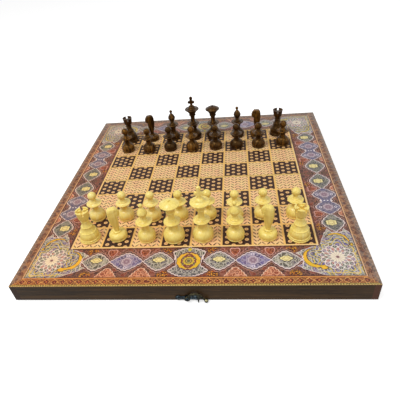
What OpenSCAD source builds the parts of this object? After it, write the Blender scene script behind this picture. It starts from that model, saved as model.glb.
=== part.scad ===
// Folding chess box, opened flat with its playing side up, and its 32 pieces.
// Millimetres. The halves meet at a seam along X, and the light pieces stand in front, at -Y.
// The origin is under the middle of the seam, on the surface that the box stands on.

/* [Box] */
// Length of the box, along the seam
box_w = 480; // [460:5:560]
// Depth of one half, from its outer wall to the seam
half_d = 247; // [240:1:280]
// Height of one half, from its rim to the playing surface
half_h = 28; // [26:1:45]
// Thickness of the rails
rail_t = 8; // [7.5:0.5:12]
// Thickness of the playing panel
panel_t = 4; // [3:0.5:6]
// Width of the rebate in the rails that the panel lies in
seat_w = 5; // [3:0.5:6]
// Thickness of the printed veneer
veneer_t = 0.8; // [0.6:0.1:1.2]
// Thickness of the lining inside each half
lining_t = 0.8; // [0.6:0.1:1.5]
// Gap between the two halves, side by side or shut
half_gap = 0.3; // [0.2:0.1:0.6]
// Width of the border beside the field
border_w = 64; // [55:0.5:76]

/* [Hinges] */
// Distance of each hinge from the middle of the seam
hinge_x = 150; // [60:5:190]
// Length of a hinge
hinge_len = 30; // [24:1:50]
// Width of a hinge leaf, from the pin's axis
leaf_w = 7; // [6:0.25:7]
// Thickness of a hinge leaf
leaf_t = 0.8; // [0.6:0.1:1.1]
// Outer radius of the hinge barrel
barrel_r = 1.8; // [1.7:0.1:2.2]
// Radius of the hinge pin
pin_r = 0.8; // [0.6:0.1:1]
// Number of knuckles in a hinge
knuckles = 5; // [3:2:7]
// Distance between the two screws of a hinge leaf
leaf_screw_gap = 18; // [12:1:22]
// Radial clearance of a pin or rivet in its hole
run_fit = 0.05; // [0.03:0.01:0.08]

/* [Latch] */
// Height of the hook's rivet above the rim
hook_h = 5; // [4.8:0.1:6]
// Length of the hook's back plate
hook_plate_w = 32; // [28:1:36]
// Length of the strike plate
strike_plate_w = 22; // [20:1:28]
// Thickness of the back plate and the strike plate
plate_t = 1; // [0.8:0.1:1.2]
// Gap between a plate and the hook arm in front of it
arm_gap = 1.2; // [1:0.1:1.6]
// Thickness of the hook arm
arm_t = 1.8; // [1.4:0.1:2.2]
// Width of the hook arm
arm_w = 2.4; // [2:0.1:2.8]
// Radius of the hook arm's bow, at its middle line
bow_r = 10.2; // [9.8:0.1:11]
// Radius of the ball on the end of the hook arm
ball_r = 2.8; // [2.2:0.1:2.8]
// Radius of the rivet and of the strike post
post_r = 1.3; // [1:0.1:1.5]

/* [Screws] */
// Radius of a screw's shank
screw_r = 0.9; // [0.7:0.1:1]
// Radius of a screw's head
screw_head_r = 1.9; // [1.6:0.1:2.1]
// Height of a round screw head
screw_head_h = 0.7; // [0.5:0.1:0.8]
// Length of a screw
screw_len = 6; // [4:0.5:6.5]

/* [Piece heights] */
// Height of a king
king_h = 90; // [80:1:96]
// Height of a queen
queen_h = 70; // [62:1:78]
// Height of a bishop
bishop_h = 64; // [56:1:70]
// Height of a knight
knight_h = 56; // [48:1:60]
// Height of a rook
rook_h = 52.5; // [48:0.5:60]
// Height of a pawn
pawn_h = 50; // [46:1:56]

/* [Piece widths] */
// Foot radius of a king
king_r = 15.3; // [14:0.1:17]
// Foot radius of a queen
queen_r = 15.7; // [14:0.1:17]
// Foot radius of a bishop
bishop_r = 13.2; // [12:0.1:15]
// Foot radius of a knight
knight_r = 13.6; // [12:0.1:15]
// Foot radius of a rook
rook_r = 15.8; // [14:0.1:17]
// Foot radius of a pawn
pawn_r = 13; // [12:0.1:15]
// Thickness of the bead round each foot
foot_t = 3; // [2:0.1:4]
// Rim radius of the cup of a king or queen
cup_r = 14; // [12:0.1:15]
// Collar radius of a king, queen or bishop
collar_r = 12.3; // [10:0.1:13]
// Collar radius of a pawn
pawn_collar_r = 11.8; // [9:0.1:12]
// Radius of a pawn's ball
pawn_ball_r = 6.6; // [5:0.1:7]
// Radius of a bishop's head
mitre_r = 7.2; // [6:0.1:8]
// Radius of a rook's battlement
tower_r = 9.7; // [8:0.1:10]
// Width of the battlement's rim
battlement_t = 2.6; // [2:0.1:3]
// Depth of the gaps in the battlement
battlement_h = 5.4; // [4:0.1:7]
// Width of the gaps in the battlement
battlement_gap = 3.4; // [2.5:0.1:5]
// Thickness of the cross on a king, front to back
cross_t = 5; // [3.5:0.1:7]
// Thickness of a knight's head
knight_t = 10.5; // [8:0.1:12]

/* [Hidden] */
light_back = ["light_left_rook", "light_left_knight", "light_left_bishop", "light_queen",
    "light_king", "light_right_bishop", "light_right_knight", "light_right_rook"];
dark_back = ["dark_left_rook", "dark_left_knight", "dark_left_bishop", "dark_king",
    "dark_queen", "dark_right_bishop", "dark_right_knight", "dark_right_rook"];
light_pawns = [for (col = [1:8]) str("light_pawn_", col)];
dark_pawns = [for (col = [1:8]) str("dark_pawn_", col)];

walnut = "#4a3526";
red_walnut = "#6e3c2a";
plywood = "#c9a26b";
print_red = "#8a4a44";
lining_brown = "#5b3a22";
old_brass = "#6d6040";
yellow_brass = "#b08d4a";
boxwood = "#e3cf7a";
sheesham = "#3f2413";

// Heights and faces of the box
rim_z = barrel_r + half_gap / 2;
top_z = rim_z + half_h;
panel_top = top_z - veneer_t;
panel_low = panel_top - panel_t;
seam_y = half_gap / 2;
end_x = box_w / 2;
inside_x = end_x - rail_t;
square = (box_w - 2 * border_w) / 8;
near_y = seam_y + rail_t;
far_y = half_d - rail_t;
// Slack of a glued piece in its seat
glue_gap = 0.02;
// How far a cut runs past the face that it opens
past = 1;
// Thickness of the beads further up on a piece
thin_ring_t = 0.65 * foot_t;
// Depth of the dish in a rook's top
dish_t = 0.3 * battlement_h;

// Hinges
knuckle_len = hinge_len / knuckles;
knuckle_gap = 0.15;
barrel_room = 0.25;
leaf_end_room = 0.1;
leaf_screw_y = (barrel_r + barrel_room + leaf_w) / 2;
countersink_fit = 0.05;
pilot_fit = 0.02;

// Latch: distances from the rivet, to the right and upward on the front wall
arm_back = plate_t + arm_gap;
arm_front = arm_back + arm_t;
arm_play = 0.1;
eye_r = post_r + 2.4;
flange_r = post_r + 1.2;
bow_x = bow_r + 0.1;
bow_z = -1;
bow_end = 20;
ball_x = bow_x + bow_r + 4.3;
ball_z = -3.2;
ball_out = max((arm_back + arm_front) / 2, ball_r + 0.3);
// The hook hangs straight down when it is shut, with the strike post under its bow
post_down = bow_x;
post_side = bow_z + bow_r - arm_w / 2 - post_r - 0.4;
strike_h = post_down - hook_h - half_gap;
barb_x = norm([post_down, post_side]) + post_r + 0.4;
barb_w = 2.4;
barb_low = ball_r - ball_z;
head_t = 1.5;
latch_reach = max(arm_front + 0.4 + head_t, ball_out + ball_r);
post_root = 5;
hook_plate_mid_r = 4.75;
hook_plate_end_r = 4.3;
strike_plate_mid_r = 4.2;
strike_plate_end_r = 3.2;

// How far each piece stands off the middle of its square, to the right and to the back,
// in hundredths of a square
light_back_off = [[1, 0], [0, 2], [1, -6], [-6, -7], [-10, -5], [-4, -8], [0, -7], [-1, -11]];
light_pawn_off = [[-3, 9], [4, 7], [5, 1], [2, 2], [2, 2], [-5, -7], [-10, -2], [-2, -3]];
dark_pawn_off = [[2, -1], [5, -11], [2, -5], [5, -12], [11, -10], [5, -9], [2, -10], [9, -2]];
dark_back_off = [[-6, 0], [1, 0], [6, 0], [5, 0], [-1, 0], [11, -2], [-1, 0], [-5, 0]];
// Which way the left and the right knight look, in degrees from the right
light_knight_turn = [22, 160];
dark_knight_turn = [205, 180];
// Which way the gaps of the left and the right battlement lie, in degrees from the right
light_rook_turn = [20, 34];
dark_rook_turn = [20, 84];

// The rear half is built as the front half, then mirrored over the seam
module rear() {
    mirror([0, 1, 0]) children();
}

// Space that the panel fills, with the walls drawn in by slack and the top raised by over
module panel_space(slack, over) {
    translate([-inside_x - seat_w + slack, -far_y - seat_w + slack, panel_low])
        cube([2 * (inside_x + seat_w - slack), far_y - near_y + 2 * (seat_w - slack),
            panel_t + over]);
}

module outer_rail() {
    difference() {
        translate([-inside_x, -half_d, rim_z]) cube([2 * inside_x, rail_t, panel_top - rim_z]);
        panel_space(0, past);
        children();
    }
}

module side_rail() {
    difference() {
        translate([inside_x, -half_d, rim_z]) cube([rail_t, half_d - seam_y, panel_top - rim_z]);
        panel_space(0, past);
    }
}

module hinge_rail() {
    difference() {
        translate([-inside_x, -near_y, rim_z]) cube([2 * inside_x, rail_t, panel_top - rim_z]);
        panel_space(0, past);
        at_hinges() hinge_room();
    }
}

module panel() {
    panel_space(glue_gap, 0);
}

module lining() {
    translate([-inside_x + glue_gap, -far_y + glue_gap, panel_low - lining_t])
        cube([2 * (inside_x - glue_gap), far_y - near_y - 2 * glue_gap, lining_t]);
}

module print_sheet() {
    translate([-end_x, -half_d, panel_top]) cube([box_w, half_d - seam_y, veneer_t]);
}

module at_hinges() {
    for (side = [-1, 1])
        translate([side * hinge_x, 0, 0]) children();
}

module along_pin(r, len) {
    translate([-len / 2, 0, barrel_r]) rotate([0, 90, 0]) cylinder(r = r, h = len, $fn = 48);
}

module at_leaf_screws() {
    for (side = [-1, 1])
        translate([side * leaf_screw_gap / 2, -leaf_screw_y, rim_z]) children();
}

module countersunk(fit) {
    cylinder(r1 = screw_head_r + fit, r2 = screw_r + fit, h = screw_head_r - screw_r, $fn = 48);
    cylinder(r = screw_r + fit, h = screw_len + fit, $fn = 48);
}

// What a hinge rail gives up to the leaf, the barrel and the screws of one hinge
module hinge_room() {
    room_len = hinge_len + 2 * leaf_end_room;
    translate([-room_len / 2, -leaf_w - leaf_end_room, rim_z - past])
        cube([room_len, leaf_w + leaf_end_room + past, leaf_t + past]);
    translate([-room_len / 2, -barrel_r - barrel_room, rim_z - past])
        cube([room_len, barrel_r + barrel_room + past, 2 * barrel_r + barrel_room - rim_z + past]);
    at_leaf_screws() countersunk(pilot_fit);
}

// One leaf of a hinge, whose knuckles start with the given one
module leaf(first) {
    barrel_len = knuckle_len - knuckle_gap;
    difference() {
        union() {
            translate([-hinge_len / 2, -leaf_w, rim_z])
                cube([hinge_len, leaf_w - barrel_r - barrel_room, leaf_t]);
            for (k = [first:2:knuckles - 1])
                translate([(k + 0.5) * knuckle_len - hinge_len / 2, 0, 0]) {
                    along_pin(barrel_r, barrel_len);
                    translate([-barrel_len / 2, -leaf_w / 2, rim_z])
                        cube([barrel_len, leaf_w / 2, leaf_t]);
                }
        }
        along_pin(pin_r + run_fit, hinge_len + 2 * past);
        at_leaf_screws() countersunk(countersink_fit);
    }
}

module leaf_screw() {
    slot_w = screw_head_r / 4;
    difference() {
        countersunk(0);
        translate([-slot_w / 2, -screw_head_r, -past])
            cube([slot_w, 2 * screw_head_r, past + slot_w]);
    }
}

// A place on the outer face of the front wall: x to the right, y up and z outward
module on_wall(x, h) {
    translate([x, -half_d, rim_z + h]) rotate([90, 0, 0]) children();
}

module at_ends(plate_w, end_r) {
    for (side = [-1, 1])
        translate([side * (plate_w / 2 - end_r), 0, 0]) children();
}

// Holes through a plate and into the wall behind it: the rivet or post, and two screws
module plate_holes(plate_w, end_r) {
    translate([0, 0, -post_root])
        cylinder(r = post_r + pilot_fit, h = post_root + plate_t + past, $fn = 48);
    at_ends(plate_w, end_r) translate([0, 0, plate_t - screw_len])
        cylinder(r = screw_r + pilot_fit, h = screw_len + past, $fn = 48);
}

module plate(plate_w, mid_r, end_r) {
    difference() {
        linear_extrude(plate_t) {
            circle(r = mid_r, $fn = 64);
            at_ends(plate_w, end_r) circle(r = end_r, $fn = 64);
            square([plate_w - 2 * end_r, end_r * 1.3], center = true);
        }
        plate_holes(plate_w, end_r);
    }
}

// Rounded head standing on z = 0
module round_head(r, h) {
    cap_r = (r * r + h * h) / (2 * h);
    rotate_extrude($fn = 48)
        intersection() {
            translate([0, h - cap_r]) circle(r = cap_r, $fn = 96);
            square([r + past, h]);
        }
}

module plate_screws(plate_w, end_r) {
    slot_w = screw_head_r / 4;
    at_ends(plate_w, end_r) translate([0, 0, plate_t])
        difference() {
            union() {
                round_head(screw_head_r, screw_head_h);
                translate([0, 0, -screw_len]) cylinder(r = screw_r, h = screw_len, $fn = 48);
            }
            rotate(35) translate([-screw_head_r, -slot_w / 2, screw_head_h / 2])
                cube([2 * screw_head_r, slot_w, screw_head_h]);
        }
}

// The arm's bow about its own middle, and the tail that runs out to the ball
module bow() {
    inner_r = bow_r - arm_w / 2;
    outer_r = bow_r + arm_w / 2;
    end = [cos(bow_end), sin(bow_end)];
    tip = [ball_x - bow_x, ball_z - bow_z];
    run = tip - bow_r * end;
    across = [-run[1], run[0]] * (0.35 * arm_w / norm(run));
    difference() {
        circle(r = outer_r, $fn = 96);
        circle(r = inner_r, $fn = 96);
        polygon([[0, 0], [-2 * bow_r, 0], [-2 * bow_r, -2 * bow_r], [2 * bow_r, -2 * bow_r],
            [2 * bow_r, 2 * bow_r * tan(bow_end)]]);
    }
    polygon([inner_r * end, outer_r * end, tip + across, tip - across]);
}

module hook() {
    barb_top = bow_z + sqrt(pow(bow_r, 2) - pow(barb_x + barb_w - bow_x, 2));
    difference() {
        union() {
            translate([0, 0, arm_back]) linear_extrude(arm_t) {
                circle(r = eye_r, $fn = 64);
                translate([bow_x, bow_z]) bow();
                polygon([[barb_x, -barb_low], [barb_x + barb_w / 2, -barb_low],
                    [barb_x + barb_w, 0], [barb_x + barb_w, barb_top], [barb_x, barb_top]]);
            }
            translate([ball_x, ball_z, ball_out]) sphere(r = ball_r, $fn = 64);
        }
        cylinder(r = post_r + run_fit, h = 2 * latch_reach, $fn = 48);
    }
}

module rivet() {
    translate([0, 0, -post_root])
        cylinder(r = post_r, h = post_root + arm_front + arm_play, $fn = 48);
    translate([0, 0, plate_t]) cylinder(r = flange_r, h = arm_gap - arm_play, $fn = 48);
    translate([0, 0, arm_front + arm_play]) round_head(flange_r, head_t - arm_play);
}

module catch_post() {
    translate([0, 0, -post_root])
        cylinder(r = post_r, h = post_root + latch_reach - head_t, $fn = 48);
    translate([0, 0, latch_reach - head_t]) round_head(flange_r, head_t);
}

// Elements of a turned outline, each given by height and radius
module stretch(z0, r0, z1, r1) {
    polygon([[0, z0], [r0, z0], [r1, z1], [0, z1]]);
}

module bead(z, r, t) {
    translate([0, z - t / 2]) square([r - t / 2, t]);
    translate([r - t / 2, z])
        intersection() {
            circle(d = t, $fn = 48);
            translate([0, -t]) square([t, 2 * t]);
        }
}

module ball(z, r) {
    translate([0, z]) circle(r = r, $fn = 64);
}

// Radius of the arc from p to q that bows out by the given height, and the outward direction
function arc_r(p, q, bow) = (pow(norm(q - p) / 2, 2) + bow * bow) / (2 * bow);
function outward(p, q) = [q[1] - p[1], p[0] - q[0]] / norm(q - p);

module cove(z0, r0, z1, r1, bow) {
    p = [r0, z0];
    q = [r1, z1];
    r = arc_r(p, q, bow);
    difference() {
        stretch(z0, r0, z1, r1);
        translate((p + q) / 2 + outward(p, q) * (r - bow)) circle(r = r, $fn = 180);
    }
}

module swell(z0, r0, z1, r1, bow) {
    p = [r0, z0];
    q = [r1, z1];
    r = arc_r(p, q, bow);
    stretch(z0, r0, z1, r1);
    intersection() {
        translate((p + q) / 2 - outward(p, q) * (r - bow)) circle(r = r, $fn = 180);
        translate([0, z0]) square([square, z1 - z0]);
    }
}

module lathe() {
    rotate_extrude($fn = 96)
        intersection() {
            square([square, 2 * king_h]);
            children();
        }
}

// Height of the bow of an arc that starts upright and then leans in
function upright_bow(inward, up) = norm([inward, up]) / 2 * tan(atan2(inward, up) / 2);

// Foot bead, dome and the ring round the neck
module foot(r, neck_z, neck_r) {
    dome_z = 0.95 * foot_t;
    wide_z = 0.38 * neck_z;
    bead(foot_t / 2, 0.96 * r, foot_t);
    swell(dome_z, 0.9 * r, wide_z, r, upright_bow(0.1 * r, wide_z - dome_z));
    swell(wide_z, r, neck_z, neck_r, upright_bow(r - neck_r, neck_z - wide_z));
    bead(neck_z, neck_r + 0.1 * foot_t, thin_ring_t);
}

// From the neck out to the collar, and in again to the waist above it
module stem(neck_z, neck_r, rim_r, collar_z, waist_z, waist_r) {
    cove(neck_z, neck_r, collar_z - 0.25 * foot_t, rim_r - 0.35 * foot_t, 0.85 * foot_t);
    bead(collar_z, rim_r, thin_ring_t);
    cove(collar_z + 0.25 * foot_t, rim_r - 0.35 * foot_t, waist_z, waist_r, 0.75 * foot_t);
    bead(collar_z + 0.8 * foot_t, 0.56 * rim_r, thin_ring_t);
}

// Cup of a king or queen, from the waist past a band up to the lip
module cup(waist_z, waist_r, band_z, lip_z) {
    cove(waist_z, waist_r, band_z, 0.39 * cup_r, 0.2 * foot_t);
    bead(band_z, 0.48 * cup_r, thin_ring_t);
    cove(band_z + 0.3 * foot_t, 0.4 * cup_r, lip_z - 0.25 * foot_t, cup_r - 0.2 * foot_t,
        0.35 * foot_t);
    bead(lip_z, cup_r, 0.8 * foot_t);
}

module king() {
    h = king_h;
    r = king_r;
    lathe() {
        foot(r, 0.2 * h, 0.5 * r);
        stem(0.2 * h, 0.45 * r, collar_r, 0.367 * h, 0.45 * h, 0.28 * r);
        cup(0.44 * h, 0.28 * r, 0.575 * h, 0.71 * h);
        cove(0.72 * h, cup_r - 0.4 * foot_t, 0.745 * h, 0.46 * r, 0.2 * foot_t);
        swell(0.745 * h, 0.46 * r, 0.795 * h, 0.2 * r, 0.3 * foot_t);
        cove(0.795 * h, 0.2 * r, 0.84 * h, 0.165 * r, 0.1 * foot_t);
    }
    intersection() {
        lathe() {
            stretch(0.835 * h, 0.17 * r, 0.86 * h, 0.3 * r);
            bead(0.872 * h, 0.45 * r, 1.4 * foot_t);
            cove(0.888 * h, 0.29 * r, 0.94 * h, 0.17 * r, 0.19 * foot_t);
            ball(h - 0.22 * r, 0.22 * r);
        }
        translate([-square / 2, -cross_t / 2, 0]) cube([square, cross_t, 2 * h]);
    }
}

module queen() {
    h = queen_h;
    r = queen_r;
    lathe() {
        foot(r, 0.265 * h, 0.5 * r);
        stem(0.265 * h, 0.45 * r, collar_r, 0.46 * h, 0.56 * h, 0.28 * r);
        cup(0.55 * h, 0.28 * r, 0.7 * h, 0.885 * h);
        swell(0.9 * h, cup_r - 0.5 * foot_t, 0.965 * h, 0.1 * r, 0.4 * foot_t);
        ball(h - 0.11 * r, 0.11 * r);
    }
}

module bishop() {
    h = bishop_h;
    r = bishop_r;
    lathe() {
        foot(r, 0.265 * h, 0.49 * r);
        stem(0.265 * h, 0.44 * r, collar_r, 0.505 * h, 0.62 * h, 0.26 * r);
        bead(0.625 * h, 0.34 * r, thin_ring_t);
        swell(0.635 * h, 0.24 * r, 0.75 * h, mitre_r, 0.3 * foot_t);
        swell(0.75 * h, mitre_r, 0.88 * h, 0.18 * r, 0.25 * foot_t);
        cove(0.88 * h, 0.18 * r, 0.93 * h, 0.13 * r, 0.1 * foot_t);
        ball(h - 0.23 * r, 0.23 * r);
    }
}

module pawn() {
    h = pawn_h;
    r = pawn_r;
    lathe() {
        foot(r, 0.345 * h, 0.46 * r);
        stem(0.345 * h, 0.4 * r, pawn_collar_r, 0.593 * h, 0.765 * h, 0.27 * r);
        ball(h - pawn_ball_r, pawn_ball_r);
    }
}

// The battlement has two through gaps, the first of them at the given turn
module rook(turn) {
    h = rook_h;
    r = rook_r;
    difference() {
        lathe() {
            bead(foot_t / 2, r, foot_t);
            bead(1.4 * foot_t, 0.96 * r, foot_t);
            swell(1.8 * foot_t, 0.89 * r, 0.29 * h, 0.76 * r, 0.3 * foot_t);
            bead(0.3 * h, 0.78 * r, thin_ring_t);
            cove(0.31 * h, 0.72 * r, 0.46 * h, 0.51 * r, 0.2 * foot_t);
            bead(0.47 * h, 0.55 * r, thin_ring_t);
            cove(0.48 * h, 0.5 * r, 0.64 * h, 0.32 * r, 0.15 * foot_t);
            bead(0.65 * h, 0.39 * r, thin_ring_t);
            cove(0.66 * h, 0.34 * r, 0.76 * h, 0.8 * tower_r, 0.3 * foot_t);
            stretch(0.76 * h, 0.8 * tower_r, h, tower_r);
        }
        translate([0, 0, h - dish_t]) cylinder(r = tower_r - battlement_t, h = h, $fn = 64);
        for (gap = [turn, turn + 90])
            rotate(gap) translate([-square, -battlement_gap / 2, h - battlement_h])
                cube([2 * square, battlement_gap, h]);
    }
}

// Smooth closed curve through the points, and a point of it between p[i] and the next
function on_curve(p, i, t) =
    let (n = len(p), a = p[(i + n - 1) % n], b = p[i], c = p[(i + 1) % n], d = p[(i + 2) % n])
    0.5 * (2 * b + (c - a) * t + (2 * a - 5 * b + 4 * c - d) * t * t
        + (3 * b - 3 * c + d - a) * t * t * t);
function curve(p, steps) =
    [for (i = [0:len(p) - 1]) for (s = [0:steps - 1]) on_curve(p, i, s / steps)];

// Side outline of a knight's neck and head, looking along +x, as shares of its height
knight_side = [[0.055, 0.19], [0.055, 0.3], [0.068, 0.38], [0.088, 0.46], [0.11, 0.54],
    [0.13, 0.62], [0.14, 0.68], [0.152, 0.715], [0.172, 0.75], [0.18, 0.8], [0.18, 0.86],
    [0.171, 0.905], [0.152, 0.94], [0.12, 0.965], [0.075, 1], [0.02, 0.97], [-0.06, 0.97],
    [-0.125, 0.965], [-0.147, 0.925], [-0.15, 0.84], [-0.147, 0.72], [-0.138, 0.63],
    [-0.118, 0.54], [-0.092, 0.45], [-0.068, 0.37], [-0.056, 0.3], [-0.055, 0.19]];
knight_front = [[0.6, 0.18], [0.68, 0.3], [0.84, 0.44], [0.96, 0.58], [1.03, 0.76], [1, 0.9],
    [0.82, 0.97], [0.45, 1.02], [0.15, 0.96]];

module knight() {
    h = knight_h;
    half_t = knight_t / 2;
    right = [for (p = knight_front) [p[0] * half_t, p[1] * h]];
    left = [for (i = [len(right) - 1:-1:0]) [-right[i][0], right[i][1]]];
    lathe() foot(knight_r, 0.22 * h, 0.42 * knight_r);
    intersection() {
        rotate([90, 0, 0]) linear_extrude(square, center = true)
            polygon(curve([for (p = knight_side) p * h], 4));
        rotate([90, 0, 90]) linear_extrude(square, center = true)
            polygon(concat(right, left));
    }
}

module on_square(col, row, off) {
    translate([(col - 4.5 + off[0] / 100) * square, (row - 4.5 + off[1] / 100) * square, top_z])
        children();
}

module light_man(col) {
    color(boxwood) on_square(col, 1, light_back_off[col - 1]) {
        if (col == 1) rook(light_rook_turn[0]);
        if (col == 8) rook(light_rook_turn[1]);
        if (col == 2) rotate(light_knight_turn[0]) knight();
        if (col == 7) rotate(light_knight_turn[1]) knight();
        if (col == 3 || col == 6) bishop();
        if (col == 4) queen();
        if (col == 5) king();
    }
}

module dark_man(col) {
    color(sheesham) on_square(col, 8, dark_back_off[col - 1]) {
        if (col == 1) rook(dark_rook_turn[0]);
        if (col == 8) rook(dark_rook_turn[1]);
        if (col == 2) rotate(dark_knight_turn[0]) knight();
        if (col == 7) rotate(dark_knight_turn[1]) knight();
        if (col == 3 || col == 6) bishop();
        if (col == 4) king();
        if (col == 5) queen();
    }
}

module light_pawn(col) {
    color(boxwood) on_square(col, 2, light_pawn_off[col - 1]) pawn();
}

module dark_pawn(col) {
    color(sheesham) on_square(col, 7, dark_pawn_off[col - 1]) pawn();
}

module front_outer_rail() {
    color(walnut) outer_rail() on_wall(0, hook_h) plate_holes(hook_plate_w, hook_plate_end_r);
}

module rear_outer_rail() {
    color(walnut) rear() outer_rail()
        on_wall(post_side, strike_h) plate_holes(strike_plate_w, strike_plate_end_r);
}

module hinge_leaves(first) {
    color(yellow_brass) at_hinges() leaf(first);
}

module hinge_screws() {
    color(yellow_brass) at_hinges() at_leaf_screws() leaf_screw();
}

front_outer_rail();
color(red_walnut) mirror([1, 0, 0]) side_rail();  // front_left_rail
color(red_walnut) side_rail();  // front_right_rail
color(walnut) hinge_rail();  // front_hinge_rail
color(plywood) panel();  // front_panel
color(lining_brown) lining();  // front_lining
color(print_red) print_sheet();  // front_print
rear_outer_rail();
color(red_walnut) rear() mirror([1, 0, 0]) side_rail();  // rear_left_rail
color(red_walnut) rear() side_rail();  // rear_right_rail
color(walnut) rear() hinge_rail();  // rear_hinge_rail
color(plywood) rear() panel();  // rear_panel
color(lining_brown) rear() lining();  // rear_lining
color(print_red) rear() print_sheet();  // rear_print
hinge_leaves(0);  // hinge_front_leaves
rear() hinge_leaves(1);  // hinge_rear_leaves
color(old_brass) at_hinges() along_pin(pin_r, hinge_len);  // hinge_pins
hinge_screws();  // hinge_front_screws
rear() hinge_screws();  // hinge_rear_screws
color(old_brass) on_wall(0, hook_h) plate(hook_plate_w, hook_plate_mid_r, hook_plate_end_r);  // hook_plate
color(old_brass) on_wall(0, hook_h) plate_screws(hook_plate_w, hook_plate_end_r);  // hook_plate_screws
color(old_brass) on_wall(0, hook_h) rivet();  // hook_rivet
color(old_brass) on_wall(0, hook_h) hook();  // hook_arm
color(old_brass) rear() on_wall(post_side, strike_h)  // strike_plate
        plate(strike_plate_w, strike_plate_mid_r, strike_plate_end_r);
color(old_brass) rear() on_wall(post_side, strike_h)  // strike_plate_screws
        plate_screws(strike_plate_w, strike_plate_end_r);
color(old_brass) rear() on_wall(post_side, strike_h) catch_post();  // strike_post
for (col = [1:8]) {
    light_man(col);
    light_pawn(col);
    dark_pawn(col);
    dark_man(col);
}
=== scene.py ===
import math

import bmesh
import bpy
from mathutils import Matrix, Vector


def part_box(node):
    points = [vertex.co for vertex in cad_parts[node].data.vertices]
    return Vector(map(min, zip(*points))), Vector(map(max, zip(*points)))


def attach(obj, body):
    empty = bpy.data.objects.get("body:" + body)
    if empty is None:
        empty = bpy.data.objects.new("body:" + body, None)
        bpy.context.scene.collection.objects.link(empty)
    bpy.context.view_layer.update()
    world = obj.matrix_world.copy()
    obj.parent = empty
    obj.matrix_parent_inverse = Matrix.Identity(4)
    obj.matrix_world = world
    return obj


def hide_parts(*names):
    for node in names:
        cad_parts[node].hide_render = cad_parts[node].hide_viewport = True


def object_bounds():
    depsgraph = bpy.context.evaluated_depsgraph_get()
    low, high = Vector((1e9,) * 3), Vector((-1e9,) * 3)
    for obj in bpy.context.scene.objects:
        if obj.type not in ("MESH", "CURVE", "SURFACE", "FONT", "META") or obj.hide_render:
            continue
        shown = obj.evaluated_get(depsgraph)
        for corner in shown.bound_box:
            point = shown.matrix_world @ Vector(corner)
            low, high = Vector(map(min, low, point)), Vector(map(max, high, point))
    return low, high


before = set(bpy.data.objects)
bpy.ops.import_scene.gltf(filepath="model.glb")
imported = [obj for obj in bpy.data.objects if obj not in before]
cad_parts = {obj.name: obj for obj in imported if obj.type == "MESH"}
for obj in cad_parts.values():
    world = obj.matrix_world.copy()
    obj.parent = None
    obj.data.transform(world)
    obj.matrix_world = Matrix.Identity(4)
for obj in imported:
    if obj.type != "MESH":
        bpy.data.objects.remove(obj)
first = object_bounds()
scene = bpy.context.scene
scene.view_settings.view_transform = "Standard"


# ---- small helpers that write shader trees ----

class Value:
    """A socket inside a material, with ordinary arithmetic."""

    def __init__(self, net, out):
        self.net = net
        self.out = out

    def __add__(self, b):
        return self.net.math("ADD", self, b)

    def __sub__(self, b):
        return self.net.math("SUBTRACT", self, b)

    def __rsub__(self, b):
        return self.net.math("SUBTRACT", b, self)

    def __mul__(self, b):
        return self.net.math("MULTIPLY", self, b)

    def __truediv__(self, b):
        return self.net.math("DIVIDE", self, b)

    def __pow__(self, b):
        return self.net.math("POWER", self, b)

    def __mod__(self, b):
        return self.net.math("FLOORED_MODULO", self, b)

    def __abs__(self):
        return self.net.math("ABSOLUTE", self)

    __radd__ = __add__
    __rmul__ = __mul__


def rgb(r, g, b):
    """An sRGB colour of 0 to 255 as the linear colour that a socket takes."""
    def linear(v):
        v = v / 255
        return v / 12.92 if v <= 0.04045 else ((v + 0.055) / 1.055) ** 2.4
    return (linear(r), linear(g), linear(b), 1.0)


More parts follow.
